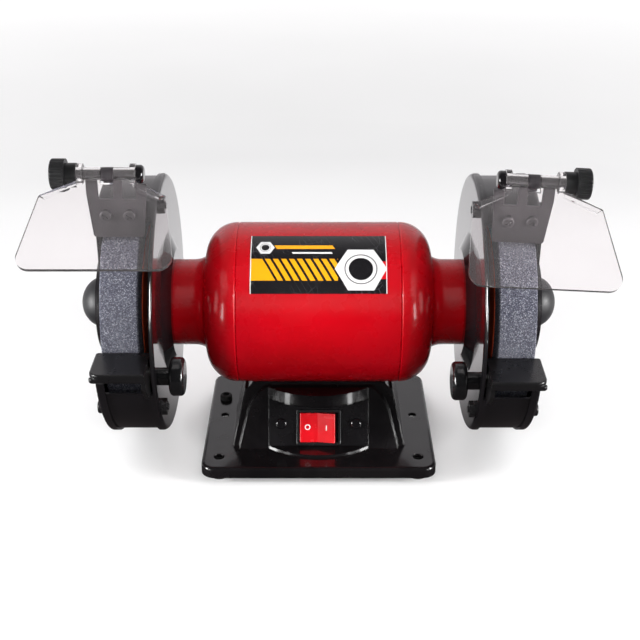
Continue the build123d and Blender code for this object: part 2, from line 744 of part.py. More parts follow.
def make_base():
    lean = (0, sin(radians(LEAN)), cos(radians(LEAN)))
    with BuildPart() as hollow:
        for height, (half_x, half_y) in ((BASE_TOP - BASE_WALL - 1, PED_BOTTOM), (PED_TOP_Z, PED_TOP)):
            with BuildSketch(level(height)):
                with Locations((0, (PED_FRONT_WALL - PED_WALL) / 2)):
                    Rectangle(2 * (half_x - PED_WALL), 2 * half_y - PED_WALL - PED_FRONT_WALL)
        loft()
        with BuildSketch(across(-80)):
            Circle(TUBE_R + PED_WALL)
        extrude(amount=160, mode=Mode.SUBTRACT)
    with BuildPart() as bulge:
        with BuildSketch(level(BASE_TOP)):
            with BuildLine():
                Line((-BULGE_CHORD, -PED_BOTTOM[1] + 1), (BULGE_CHORD, -PED_BOTTOM[1] + 1))
                ThreePointArc(
                    (BULGE_CHORD, -PED_BOTTOM[1] + 1),
                    (0, -PED_BOTTOM[1] - BULGE),
                    (-BULGE_CHORD, -PED_BOTTOM[1] + 1),
                )
            make_face()
        extrude(amount=45, dir=lean)
        with BuildSketch(panel_plane(0)):
            with Locations((0, (PANEL_LOW + PANEL_HIGH) / 2)):
                Rectangle(2 * BULGE_CHORD + 10, PANEL_HIGH - PANEL_LOW)
        extrude(amount=40, dir=(0, -1, 0), mode=Mode.SUBTRACT)
    with BuildPart() as base:
        with BuildSketch(level(BASE_LIP)):
            with Locations((0, BASE_BACK)):
                RectangleRounded(BASE_X, BASE_Y, BASE_CORNER)
        extrude(amount=BASE_TOP - BASE_LIP)
        fillet(base.faces().sort_by(Axis.Z)[-1].edges(), 2.4)
        with BuildSketch(level(BASE_LIP)):
            with Locations((0, BASE_BACK)):
                RectangleRounded(BASE_X - 2 * BASE_WALL, BASE_Y - 2 * BASE_WALL, BASE_CORNER - BASE_WALL)
        extrude(amount=BASE_TOP - BASE_WALL - BASE_LIP, mode=Mode.SUBTRACT)
        with BuildSketch(level(BASE_TOP)):
            RectangleRounded(2 * PED_BOTTOM[0], 2 * PED_BOTTOM[1], 5)
        with BuildSketch(level(PED_TOP_Z)):
            RectangleRounded(2 * PED_TOP[0], 2 * PED_TOP[1], 5)
        loft()
        with BuildSketch(panel_plane(0)):
            with Locations((0, 30)):
                Rectangle(140, 60)
            with BuildLine():
                Line((-57.5, 0), (-51, 27))
                TangentArc((-51, 27), (-38, 45), tangent=(0.3, 1))
                Line((-38, 45), (38, 45))
                TangentArc((51, 27), (38, 45), tangent=(-0.3, 1))
                Line((51, 27), (57.5, 0))
                Line((57.5, 0), (-57.5, 0))
            make_face(mode=Mode.SUBTRACT)
        extrude(amount=3.5, dir=(0, 1, 0), mode=Mode.SUBTRACT)
        add(bulge.part)
        with BuildSketch(facing(-80)):
            with BuildLine():
                Polyline((-80, -40), (-43, -40), (-43, -49), (-51, -58), (-80, -58), close=True)
            make_face()
            with BuildLine():
                Polyline((80, -40), (43, -40), (43, -49), (51, -58), (80, -58), close=True)
            make_face()
        extrude(amount=-160, mode=Mode.SUBTRACT)
        with BuildSketch(across(-80)):
            Circle(TUBE_R)
        extrude(amount=160, mode=Mode.SUBTRACT)
        add(hollow.part, mode=Mode.SUBTRACT)
        with BuildSketch(panel_plane(-PANEL_T)):
            with Locations((0, (PANEL_LOW + PANEL_HIGH) / 2)):
                Rectangle(2 * PANEL_HALF + 0.1, PANEL_HIGH - PANEL_LOW)
        extrude(amount=PANEL_T, mode=Mode.SUBTRACT)
        with BuildSketch(panel_plane(-12)):
            with Locations((0, SWITCH_W)):
                Rectangle(31, 25.2)
        extrude(amount=12, mode=Mode.SUBTRACT)
        with BuildSketch(panel_plane(-8)):
            with Locations((-PANEL_SCREWS[0], PANEL_SCREWS[1]), PANEL_SCREWS):
                Circle(1.5 + FIT)
        extrude(amount=8, mode=Mode.SUBTRACT)
        with BuildSketch(level(0)):
            with Locations((-FOOT_X, FOOT_ROWS[0]), (FOOT_X, FOOT_ROWS[0])):
                Circle(FRONT_HOLE_R)
            with Locations((-FOOT_X, SIDE_HOLE_Y), (FOOT_X, SIDE_HOLE_Y)):
                Circle(SIDE_HOLE_R)
            with Locations(GLAND_XY):
                Circle(4.5 + FIT)
        extrude(amount=BASE_TOP + 1, mode=Mode.SUBTRACT)
        with BuildSketch(level(BASE_TOP - BASE_WALL)):
            with Locations(*bottom_screw_spots()):
                Circle(1.5 + FIT)
        extrude(amount=2, mode=Mode.SUBTRACT)
        with BuildSketch(level(PED_TOP_Z - 25)):
            with Locations((-38, 0), (38, 0)):
                Circle(2.7)
            Circle(5)
        extrude(amount=30, mode=Mode.SUBTRACT)
    base.part.label = "base"
    export_step(base.part, "parts/base.step")


def bottom_screw_spots():
    return [(x, y) for x in (-50, 50) for y in (-42.5, 42.5)]


def make_bottom_cover():
    with BuildPart() as bottom_cover:
        with BuildSketch(level(BASE_TOP - BASE_WALL - 1.2)):
            RectangleRounded(132, 92, 4)
            with Locations(*bottom_screw_spots()):
                Circle(1.7, mode=Mode.SUBTRACT)
        extrude(amount=1.2)
    bottom_cover.part.label = "bottom_cover"
    export_step(bottom_cover.part, "parts/bottom_cover.step")


def make_bottom_screws():
    under = BASE_TOP - BASE_WALL - 1.2
    with BuildPart() as bottom_screws:
        with BuildSketch(level(under - 2)):
            with Locations(*bottom_screw_spots()):
                Circle(3)
        extrude(amount=2)
        with BuildSketch(level(under)):
            with Locations(*bottom_screw_spots()):
                Circle(1.5)
        extrude(amount=3)
    bottom_screws.part.label = "bottom_screws"
    export_step(bottom_screws.part, "parts/bottom_screws.step")


def make_feet():
    spots = [(x, y) for x in (-FOOT_X, FOOT_X) for y in FOOT_ROWS]
    with BuildPart() as rubber_feet:
        with BuildSketch(level(0)):
            with Locations(*spots):
                Circle(FOOT_R)
                Circle(FRONT_HOLE_R, mode=Mode.SUBTRACT)
        extrude(amount=BASE_TOP - BASE_WALL)
    rubber_feet.part.label = "rubber_feet"
    export_step(rubber_feet.part, "parts/rubber_feet.step")


def make_cord_gland():
    with BuildPart() as cord_gland:
        with BuildSketch(level(BASE_TOP - BASE_WALL - 1.5)):
            with Locations(GLAND_XY):
                Circle(5.6)
        extrude(amount=1.5)
        with BuildSketch(level(BASE_TOP - BASE_WALL)):
            with Locations(GLAND_XY):
                Circle(4.5)
        extrude(amount=6.6)
        fillet(cord_gland.faces().sort_by(Axis.Z)[-1].edges(), 1.4)
        with BuildSketch(level(0)):
            with Locations(GLAND_XY):
                Circle(2.6)
        extrude(amount=40, mode=Mode.SUBTRACT)
    cord_gland.part.label = "cord_gland"
    export_step(cord_gland.part, "parts/cord_gland.step")


def make_front_panel():
    with BuildPart() as front_panel:
        with BuildSketch(panel_plane(-PANEL_T)):
            with Locations((0, (PANEL_LOW + PANEL_HIGH) / 2)):
                Rectangle(2 * PANEL_HALF, PANEL_HIGH - PANEL_LOW - 0.1)
            with Locations((0, SWITCH_W)):
                Rectangle(29.8, 23.8, mode=Mode.SUBTRACT)
            with Locations((-PANEL_SCREWS[0], PANEL_SCREWS[1]), PANEL_SCREWS):
                Circle(1.7, mode=Mode.SUBTRACT)
        extrude(amount=PANEL_T)
    front_panel.part.label = "front_panel"
    export_step(front_panel.part, "parts/front_panel.step")


def make_panel_screws():
    with BuildPart() as panel_screws:
        with BuildSketch(panel_plane(0)):
            with Locations((-PANEL_SCREWS[0], PANEL_SCREWS[1]), PANEL_SCREWS):
                Circle(3.9)
        extrude(amount=2.4)
        fillet(panel_screws.faces().sort_by(Axis.Y)[:2].edges(), 1.6)
        with BuildSketch(panel_plane(-6)):
            with Locations((-PANEL_SCREWS[0], PANEL_SCREWS[1]), PANEL_SCREWS):
                Circle(1.5)
        extrude(amount=6)
    panel_screws.part.label = "panel_screws"
    export_step(panel_screws.part, "parts/panel_screws.step")


def make_switch():
    with BuildPart() as switch_body:
        with BuildSketch(panel_plane(0)):
            with Locations((0, SWITCH_W)):
                RectangleRounded(32, 26, 1.2)
        extrude(amount=1.5)
        fillet(switch_body.faces().sort_by(Axis.Y)[0].outer_wire().edges(), 0.6)
        with BuildSketch(panel_plane(-14)):
            with Locations((0, SWITCH_W)):
                Rectangle(29.6, 23.6)
        extrude(amount=14)
        with BuildSketch(panel_plane(-12)):
            with Locations((0, SWITCH_W)):
                Rectangle(28.4, 22)
        extrude(amount=14, mode=Mode.SUBTRACT)
        with BuildSketch(panel_plane(-21)):
            with Locations((-8, SWITCH_W), (8, SWITCH_W)):
                Rectangle(0.8, 6.3)
        extrude(amount=7)
    switch_body.part.label = "switch_body"
    export_step(switch_body.part, "parts/switch_body.step")


def make_rocker():
    face = panel_plane(0)
    centre = face.from_local_coords((0, SWITCH_W - ROCKER_HALF, ROCKER_PIVOT))
    tilt = radians(ROCKER_TILT)
    off_side_down = face.x_dir * cos(tilt) + face.z_dir * sin(tilt)
    with BuildPart() as rocker:
        with BuildSketch(Plane(origin=centre, x_dir=off_side_down, z_dir=face.y_dir)):
            with BuildLine():
                Polyline(
                    (-11.8, 5), (-12.9, -7.4), (0, -5), (12.9, -7.4), (11.8, 5), close=True,
                )
            make_face()
            fillet(vertices().group_by(Axis.Y)[0], 1)
        extrude(amount=2 * ROCKER_HALF)
    rocker.part.label = "switch_rocker"
    export_step(rocker.part, "parts/switch_rocker.step")


def make_capacitor():
    middle = (10.0, -82.0)
    with BuildPart() as capacitor:
        with BuildSketch(across(-26)):
            with Locations(middle):
                Circle(14)
        extrude(amount=48)
        fillet(capacitor.edges(), 1.5)
        with BuildSketch(across(22)):
            with Locations((middle[0] - 5, middle[1]), (middle[0] + 5, middle[1])):
                Rectangle(1, 6.3)
        extrude(amount=8)
    capacitor.part.label = "capacitor"
    export_step(capacitor.part, "parts/capacitor.step")
    with BuildPart() as clamp:
        with BuildSketch(across(-8)):
            with Locations(middle):
                Circle(15.4)
            with Locations((middle[0], middle[1] - 11.5)):
                Rectangle(24, 20)
            with Locations(middle):
                Circle(14.2, mode=Mode.SUBTRACT)
            with Locations((middle[0], -AXIS_Z - 10)):
                Rectangle(60, 2 * (BASE_TOP - BASE_WALL + 10), mode=Mode.SUBTRACT)
        extrude(amount=12)
    clamp.part.label = "capacitor_clamp"
    export_step(clamp.part, "parts/capacitor_clamp.step")


def make_terminal_block():
    with BuildPart() as terminal_block:
        with BuildSketch(level(BASE_TOP - BASE_WALL)):
            with Locations((42, 8)):
                Rectangle(12, 34)
        extrude(amount=11)
        with BuildSketch(level(BASE_TOP - BASE_WALL + 6)):
            with Locations((42, 8)):
                with GridLocations(0, 10, 1, 3):
                    Circle(2.2)
        extrude(amount=10, mode=Mode.SUBTRACT)
    terminal_block.part.label = "terminal_block"
    export_step(terminal_block.part, "parts/terminal_block.step")


def make_saddle_bolts():
    with BuildPart() as saddle_bolts:
        with BuildSketch(level(AXIS_Z - TUBE_R - PED_WALL - 3.5)):
            with Locations((-38, 0), (38, 0)):
                RegularPolygon(4, 6, major_radius=False)
        extrude(amount=3.5)
        with BuildSketch(level(AXIS_Z - TUBE_R - PED_WALL)):
            with Locations((-38, 0), (38, 0)):
                Circle(2.5)
        extrude(amount=10)
    saddle_bolts.part.label = "saddle_bolts"
    export_step(saddle_bolts.part, "parts/saddle_bolts.step")
    with BuildPart() as saddle_nuts:
        with BuildSketch(level(AXIS_Z - 54.3)):
            with Locations((-38, 0), (38, 0)):
                RegularPolygon(3.8, 6, major_radius=False)
                Circle(2.5 + FIT, mode=Mode.SUBTRACT)
        extrude(amount=2.8)
    saddle_nuts.part.label = "saddle_nuts"
    export_step(saddle_nuts.part, "parts/saddle_nuts.step")


def make_front_label():
    low, high = 30.0, 76.5
    with BuildPart() as front_label:
        with BuildSketch(across(-46)):
            Circle(TUBE_R + 0.3)
            Circle(TUBE_R, mode=Mode.SUBTRACT)
        extrude(amount=92)
        add(sector(TUBE_R, low, high, -47, 47), mode=Mode.INTERSECT)
    front_label.part.label = "front_label"
    export_step(front_label.part, "parts/front_label.step")


make_motor_tube()
make_stator_core()
make_stator_windings()
make_shaft()
make_rotor_core()
make_rotor_cage()
make_base()
make_bottom_cover()
make_bottom_screws()
make_feet()
make_cord_gland()
make_front_panel()
make_panel_screws()
make_switch()
make_rocker()
make_capacitor()
make_terminal_block()
make_saddle_bolts()
make_front_label()

pairs = {
    "end_bell": make_end_bells(),
    "wheel": make_wheels(),
    "wheel_guard": make_wheel_guard(),
    "outer_cover": make_outer_cover(),
    "hub_cap": make_hub_cap(),
    "tool_rest": make_tool_rest(),
    "rest_knob": make_rest_knob(),
}
for name, piece in pairs.items():
    export_pair(name, piece, piece)

hinge_bolt = make_hinge_bolt()
shield_knob = make_shield_knob()
hinged = {}
for side, shift in HINGE_SHIFT.items():
    hinged[side] = {
        "spark_arrestor": make_spark_arrestor(side),
        "eye_shield": make_eye_shield(side),
        "hinge_bolt": Pos(-shift, 0, 0) * hinge_bolt,
        "shield_knob": Pos(-shift, 0, 0) * shield_knob,
    }
for name, piece in hinged["right"].items():
    export_pair(name, piece.rotate(SCREW_LINE, ASKEW), hinged["left"][name])

bearing_outer, bearing_inner = make_bearing_rings()
groups = {
    "wheel_bushes": make_wheel_bush(),
    "blotters": make_blotters(),
    "inner_flanges": make_inner_flange(),
    "outer_flanges": make_outer_flange(),
    "spindle_nuts": make_spindle_nut(),
    "bearing_outer_rings": bearing_outer,
    "bearing_inner_rings": bearing_inner,
    "bearing_balls": make_bearing_balls(),
    "guard_screws": make_guard_screws(),
    "guard_nuts": make_guard_nuts(),
    "neck_screws": make_neck_screws(),
    "rest_bolts": make_rest_bolt(),
    "rest_washers": make_rest_washer(),
    "arrestor_screws": make_arrestor_screws(),
}
for name, piece in groups.items():
    group = at_both_ends(piece)
    group.label = name
    export_step(group, f"parts/{name}.step")
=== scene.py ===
import math

import bpy
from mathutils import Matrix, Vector

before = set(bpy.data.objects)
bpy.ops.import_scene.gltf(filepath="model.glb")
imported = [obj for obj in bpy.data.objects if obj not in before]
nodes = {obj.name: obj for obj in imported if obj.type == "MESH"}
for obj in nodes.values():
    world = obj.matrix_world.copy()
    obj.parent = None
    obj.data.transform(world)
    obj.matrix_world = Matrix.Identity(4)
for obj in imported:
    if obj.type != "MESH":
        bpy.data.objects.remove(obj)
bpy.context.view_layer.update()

MM_PER_M = 1000

# Places on the model, in millimetres.
SHAFT_Y = 51
SHAFT_Z = 113
LABEL_R = 57.3  # the label's outer face, from the shaft's middle line
PEDESTAL_FOOT_Y = 11  # where the pedestal's front starts to lean
PEDESTAL_FOOT_Z = 14.5
PEDESTAL_LEAN = math.radians(19.01)

# Print on the label, in millimetres: along the shaft from the middle, and up round the tube.
SLOPE = 0.5625  # how far slanting print leans to the left for each millimetre up
BAND = (39, 55)
BAND_RIGHT = 13
SOLID_RIGHT = -29  # the band is solid orange left of this
STRIPE_START = -27.2
STRIPE_PITCH = 5.42
STRIPE_SHARE = 0.64  # how much of each pitch is orange
HATCH_PITCH = 4.1
HEADLINE_UP = (63.4, 66.6)
HEADLINE_ACROSS = (-14.5, 25)
UNDERLINE_UP = (59.2, 60.6)
UNDERLINE_ACROSS = (-6, 21)
ACCENT_UP = (40, 53)
ACCENT_LEFT = 40.5
WHITE_ENDS = 45.4  # the label is white further out than this
BIG_NUT = ((28.5, 47.5), 15.2, 8.2)  # middle, half the width over the flats, radius of the hole
SMALL_NUT = ((-36, 64.6), 5.4, 2.7)
WHITE_INK = (0.80, 0.80, 0.80)
ORANGE_INK = (0.95, 0.40, 0.004)
RED_INK = (0.62, 0.005, 0.010)
BLACK_INK = (0.010, 0.0095, 0.011)

# Signs on the rocker, in millimetres: across from the middle, and up the pedestal's leaning front.
OFF_RING_MIDDLE = (-7.9, 16.2)
OFF_RING_RADII = (1.35, 2.05)
ON_BAR_ACROSS = (5.2, 5.9)
ON_BAR_UP = (14.0, 17.8)

# The studio, in metres unless a name says otherwise.
FLOOR_HALF = 6
AIM = (0, 0.05, 0.12)
# How far a direction turns to the back, from 0 at the sides and front to 1, and how light it is there.
BACKDROP = ((0.0, 0.03), (0.22, 0.15), (0.5, 0.42), (0.8, 0.85), (1.0, 0.55))
CAMERA_PLACE = (0.001, -0.7025, 0.461)
CAMERA_DIP = 25.7  # degrees below level
CAMERA_LENS_MM = 65.08


def opaque(colour):
    """Three numbers get full alpha, and a socket stays as it is."""
    return colour if isinstance(colour, bpy.types.NodeSocket) else (*colour, 1)


def scaled(colour, factor):
    return tuple(value * factor for value in colour)


class Graph:
    """A node tree, with a short way to add what the materials and the world share."""

    def __init__(self, tree):
        self.tree = tree

    def add(self, kind, sockets=(), **settings):
        """A new node with its settings, and its sockets set to numbers or joined to other nodes."""
        node = self.tree.nodes.new("ShaderNode" + kind)
        for name, value in settings.items():
            setattr(node, name, value)
        for key, value in dict(sockets).items():
            if isinstance(value, bpy.types.NodeSocket):
                self.join(value, node, key)
            else:
                node.inputs[key].default_value = value
        return node

    def join(self, output, node, key):
        self.tree.links.new(output, node.inputs[key])

    def math(self, operation, *values):
        return self.add("Math", dict(enumerate(values)), operation=operation).outputs[0]

    def ramp(self, factor, *stops):
        """Each stop is a place from 0 to 1 and the colour there."""
        node = self.add("ValToRGB", {"Fac": factor})
        elements = node.color_ramp.elements
        while len(elements) < len(stops):
            elements.new(0.5)
        for element, (place, colour) in zip(elements, stops):
            element.position = place
            element.color = opaque(colour)
        return node.outputs["Color"]

    def seen(self):
        """1 for what the camera sees, also through a clear sheet, and 0 for mirrored and bounced light."""
        path = self.add("LightPath")
        return self.math("MAXIMUM", path.outputs["Is Camera Ray"], path.outputs["Is Transmission Ray"])


class Shader(Graph):
    """A material whose nodes read the object's own coordinates, in metres."""

    def __init__(self, name, **surface):
        self.material = bpy.data.materials.new(name)
        self.material.use_nodes = True
        super().__init__(self.material.node_tree)
        self.surface = self.tree.nodes["Principled BSDF"]
        self.where = self.add("TexCoord").outputs["Object"]
        for socket, value in surface.items():
            self.surface.inputs[socket.replace("_", " ")].default_value = value

    def stretched(self, x, y, z):
        return self.add("Mapping", {"Vector": self.where, "Scale": (x, y, z)}).outputs["Vector"]

    def noise(self, scale, detail=3.0, roughness=0.55, distortion=0.0, where=None):
        sockets = {"Vector": where or self.where, "Scale": scale, "Detail": detail,
                   "Roughness": roughness, "Distortion": distortion}
        return self.add("TexNoise", sockets).outputs["Fac"]

    def cells(self, scale, feature="F1", where=None):
        """How far each point is from the middle of its cell, or from the edge."""
        node = self.add("TexVoronoi", {"Vector": where or self.where, "Scale": scale}, feature=feature)
        return node.outputs["Distance"]

    def grains(self, scale):
        """A random grey for each grain."""
        colour = self.add("TexVoronoi", {"Vector": self.where, "Scale": scale}).outputs["Color"]
        return self.add("SeparateColor", {"Color": colour}).outputs["Red"]

    def level(self, value, source, target):
        """The value moved from the range source to the range target, and kept in it."""
        sockets = {"Value": value, "From Min": source[0], "From Max": source[1],
                   "To Min": target[0], "To Max": target[1]}
        return self.add("MapRange", sockets).outputs["Result"]

    def blend(self, factor, under, over):
        """The colour under where factor is 0, and over where it is 1."""
        sockets = {0: factor, 6: opaque(under), 7: opaque(over)}
        return self.add("Mix", sockets, data_type="RGBA").outputs[2]

    def colour(self, value):
        self.join(value, self.surface, "Base Color")

    def rough(self, value):
        self.join(value, self.surface, "Roughness")

    def bumps(self, *layers, edge=0.0):
        """Each layer is a height, how strongly it shows, and its depth. Edges look rounded by edge metres."""
        normal = self.add("Bevel", {"Radius": edge}, samples=6).outputs["Normal"] if edge else None
        for height, strength, depth in layers:
            sockets = {"Height": height, "Strength": strength, "Distance": depth}
            if normal:
                sockets["Normal"] = normal
            normal = self.add("Bump", sockets).outputs["Normal"]
        self.join(normal, self.surface, "Normal")

    # ------------------------------------------------------------ drawing on a surface
    def millimetres(self):
        split = self.add("SeparateXYZ", {"Vector": self.where})
        return [self.math("MULTIPLY", split.outputs[axis], MM_PER_M) for axis in "XYZ"]

    def both(self, *masks):
        """1 where every mask is 1."""
        out = masks[0]
        for mask in masks[1:]:
            out = self.math("MULTIPLY", out, mask)
        return out

    def inside(self, value, low, high):
        """1 where value lies between low and high."""
        return self.both(self.math("GREATER_THAN", value, low), self.math("LESS_THAN", value, high))

    def offsets(self, u, v, middle):
        return self.math("SUBTRACT", u, middle[0]), self.math("SUBTRACT", v, middle[1])

    def distance(self, u, v, middle):
        squares = [self.math("MULTIPLY", offset, offset) for offset in self.offsets(u, v, middle)]
        return self.math("SQRT", self.math("ADD", *squares))

    def hexagon(self, u, v, middle, half_flat):
        """1 inside a hexagon with two level sides."""
        across, along = self.offsets(u, v, middle)
        sixth = math.radians(30)
        reach = self.math("ABSOLUTE", along)
        for side in (-1, 1):
            slope = self.math("MULTIPLY", across, side * math.cos(sixth))
            tilt = self.math("ADD", slope, self.math("MULTIPLY", along, math.sin(sixth)))
            reach = self.math("MAXIMUM", reach, self.math("ABSOLUTE", tilt))
        return self.math("LESS_THAN", reach, half_flat)


# ---------------------------------------------------------------- paints
def enamel_red(name):
    paint = Shader(name, Coat_Weight=0.4, Coat_Roughness=0.06, Specular_IOR_Level=0.2)
    cloud = paint.noise(14, 2)
    tone = paint.ramp(cloud, (0.3, (0.43, 0.0006, 0.0040)), (0.7, (0.53, 0.0009, 0.0080)))
    dust = paint.level(paint.noise(900, 2, 0.7), (0.70, 0.76), (0, 0.35))
    paint.colour(paint.blend(dust, tone, (0.60, 0.03, 0.04)))
    paint.rough(paint.level(paint.noise(60, 4), (0.3, 0.7), (0.20, 0.34)))
    paint.bumps((paint.noise(520, 2), 0.10, 0.0003), (paint.noise(35, 1), 0.05, 0.001))
    return paint.material


def gloss_black(name, tint=(0.005, 0.0045, 0.0052), rough=(0.07, 0.16), peel=0.05, edge=0.0, coat=0.4):
    """Black coat, uneven as sprayed, with greyer scuffs. Peel is how strongly its finest dimples show."""
    paint = Shader(name, Coat_Weight=coat, Coat_Roughness=0.03, Specular_IOR_Level=0.5)
    cloud = paint.level(paint.noise(22, 3), (0.35, 0.7), (0, 1))
    scuff = paint.noise(75, 5, 0.7, where=paint.stretched(1, 6, 1))
    tone = paint.blend(cloud, tint, scaled(tint, 1.5))
    paint.colour(paint.blend(paint.level(scuff, (0.62, 0.72), (0, 0.5)), tone, scaled(tint, 2.2)))
    paint.rough(paint.level(paint.noise(48, 5, 0.65), (0.3, 0.75), rough))
    paint.bumps((paint.noise(450, 2), peel, 0.0003), (paint.noise(28, 1), 0.04, 0.001), edge=edge)
    return paint.material


def cast_black(name):
    paint = Shader(name, Coat_Weight=0.35, Coat_Roughness=0.05, Specular_IOR_Level=0.35)
    cloud = paint.noise(30, 4)
    tone = paint.ramp(cloud, (0.3, (0.0030, 0.0026, 0.0030)), (0.72, (0.0070, 0.0060, 0.0066)))
    dust = paint.level(paint.noise(1300, 2, 0.8), (0.70, 0.76), (0, 0.4))
    paint.colour(paint.blend(dust, tone, (0.05, 0.047, 0.05)))
    paint.rough(paint.level(paint.noise(65, 5), (0.3, 0.7), (0.14, 0.30)))
    paint.bumps((paint.noise(600, 3), 0.12, 0.0003), (paint.noise(90, 2), 0.06, 0.0008), edge=0.0016)
    return paint.material


def satin_grey(name):
    sheet = Shader(name, Metallic=0.35, Specular_IOR_Level=0.5)
    rolled = sheet.noise(260, 4, 0.6, where=sheet.stretched(1, 1, 0.12))
    blotch = sheet.noise(45, 3)
    tone = sheet.ramp(rolled, (0.3, (0.026, 0.023, 0.026)), (0.7, (0.046, 0.041, 0.045)))
    sheet.colour(sheet.blend(sheet.level(blotch, (0.4, 0.75), (0, 0.5)), tone, (0.062, 0.055, 0.060)))
    sheet.rough(sheet.level(blotch, (0.3, 0.7), (0.34, 0.5)))
    sheet.bumps((rolled, 0.10, 0.0003), (sheet.noise(800, 2), 0.08, 0.0002))
    return sheet.material


# ---------------------------------------------------------------- metals
def steel(name, light, dark, rough, lines=(1, 14, 14), metallic=1.0):
    """Metal with fine tooling lines, long on the axis where lines is 1, and no direction if all are 1."""
    metal = Shader(name, Metallic=metallic)
    tooling = metal.noise(150, 4, 0.65, where=metal.stretched(*lines))
    stain = metal.level(metal.noise(70, 3), (0.55, 0.8), (0, 0.45))
    tone = metal.ramp(tooling, (0.25, dark), (0.75, light))
    metal.colour(metal.blend(stain, tone, scaled(light, 0.7)))
    metal.rough(metal.level(tooling, (0.2, 0.8), rough))
    metal.bumps((tooling, 0.12, 0.0002))
    return metal.material


def laminations(name):
    """Stamped sheets half a millimetre thick, stacked along the shaft."""
    metal = Shader(name, Metallic=0.9)
    x = metal.millimetres()[0]
    sheet = metal.math("FRACT", metal.math("DIVIDE", x, 0.5))
    gap = metal.math("LESS_THAN", sheet, 0.18)
    tone = metal.ramp(metal.noise(120, 4), (0.3, (0.16, 0.16, 0.17)), (0.7, (0.30, 0.29, 0.30)))
    metal.colour(metal.blend(gap, tone, (0.05, 0.045, 0.045)))
    metal.rough(metal.level(metal.noise(90, 3), (0.3, 0.7), (0.4, 0.6)))
    metal.bumps((metal.math("SUBTRACT", 1, gap), 0.4, 0.0001))
    return metal.material


def copper(name):
    metal = Shader(name, Metallic=1.0, Coat_Weight=0.4, Coat_Roughness=0.15)
    wires = metal.noise(420, 2, 0.4, where=metal.stretched(5, 0.6, 0.6))
    metal.colour(metal.ramp(wires, (0.35, (0.20, 0.055, 0.018)), (0.65, (0.55, 0.21, 0.08))))
    metal.rough(metal.level(wires, (0.3, 0.7), (0.28, 0.42)))
    metal.bumps((wires, 0.5, 0.0006))
    return metal.material


# ---------------------------------------------------------------- plastics, rubber, card and stone
def plastic(name, dark, light, rough, grain=900, depth=0.1, coat=0.0):
    """Moulding with a fine grain and lighter specks. Depth is how strongly the grain shows."""
    moulding = Shader(name, Coat_Weight=coat, Coat_Roughness=0.05, Specular_IOR_Level=0.5)
    cloud = moulding.noise(60, 3)
    speck = moulding.level(moulding.noise(1500, 2, 0.8), (0.68, 0.75), (0, 0.4))
    tone = moulding.ramp(cloud, (0.3, dark), (0.7, light))
    paler = tuple(min(1.0, value * 2.0 + 0.01) for value in light)
    moulding.colour(moulding.blend(speck, tone, paler))
    moulding.rough(moulding.level(moulding.noise(110, 4), (0.3, 0.7), rough))
    moulding.bumps((moulding.noise(grain, 3), depth, 0.0003))
    return moulding.material


def rubber(name):
    moulding = Shader(name, Specular_IOR_Level=0.35)
    cloud = moulding.noise(130, 4)
    moulding.colour(moulding.ramp(cloud, (0.3, (0.009, 0.009, 0.009)), (0.75, (0.028, 0.027, 0.026))))
    moulding.rough(moulding.level(cloud, (0.3, 0.7), (0.55, 0.8)))
    moulding.bumps((moulding.noise(1100, 3), 0.25, 0.0003))
    return moulding.material


def card(name):
    sheet = Shader(name, Specular_IOR_Level=0.25)
    fibres = sheet.noise(700, 5, 0.7, 1.5)
    sheet.colour(sheet.ramp(fibres, (0.3, (0.44, 0.042, 0.014)), (0.7, (0.70, 0.105, 0.030))))
    sheet.rough(sheet.level(fibres, (0.3, 0.7), (0.75, 0.95)))
    sheet.bumps((fibres, 0.3, 0.0003))
    return sheet.material


def abrasive(name):
    """Grit of many greys, bonded, with worn patches."""
    stone = Shader(name, Specular_IOR_Level=0.3)
    grains_per_metre = 2300
    fine = stone.noise(2600, 3, 0.8)
    tone = stone.ramp(
        stone.grains(grains_per_metre), (0.0, (0.012, 0.012, 0.020)), (0.5, (0.075, 0.078, 0.108)),
        (0.82, (0.175, 0.180, 0.225)), (1.0, (0.60, 0.61, 0.66)),
    )
    tone = stone.blend(stone.level(fine, (0.35, 0.65), (0, 0.55)), tone, (0.075, 0.077, 0.105))
    patch = stone.level(stone.noise(32, 3), (0.45, 0.75), (0, 0.35))
    stone.colour(stone.blend(patch, tone, (0.22, 0.22, 0.25)))
    stone.rough(stone.level(fine, (0.2, 0.8), (0.78, 1.0)))
    stone.bumps((stone.cells(grains_per_metre), 0.8, 0.0004), (fine, 0.4, 0.0003))
    return stone.material


def clear_sheet(name):
    """Polished plastic that lets lamps through, with a faint tint and rubbed patches."""
    sheet = Shader(name, Transmission_Weight=0.988, IOR=1.46)
    haze = sheet.noise(24, 4)
    rubbed = sheet.noise(160, 5, 0.7, where=sheet.stretched(1, 1, 5))
    sheet.colour(sheet.ramp(haze, (0.35, (0.955, 0.925, 0.932)), (0.7, (0.930, 0.895, 0.905))))
    sheet.rough(sheet.level(rubbed, (0.45, 0.8), (0.0, 0.06)))
    sheet.bumps((sheet.noise(60, 2), 0.02, 0.0006))
    lamps = sheet.add("LightPath").outputs["Is Shadow Ray"]
    through = sheet.add("BsdfTransparent", {"Color": (0.93, 0.90, 0.905, 1)})
    mix = sheet.add("MixShader", {0: lamps, 1: sheet.surface.outputs[0], 2: through.outputs[0]})
    sheet.join(mix.outputs[0], sheet.tree.nodes["Material Output"], "Surface")
    return sheet.material


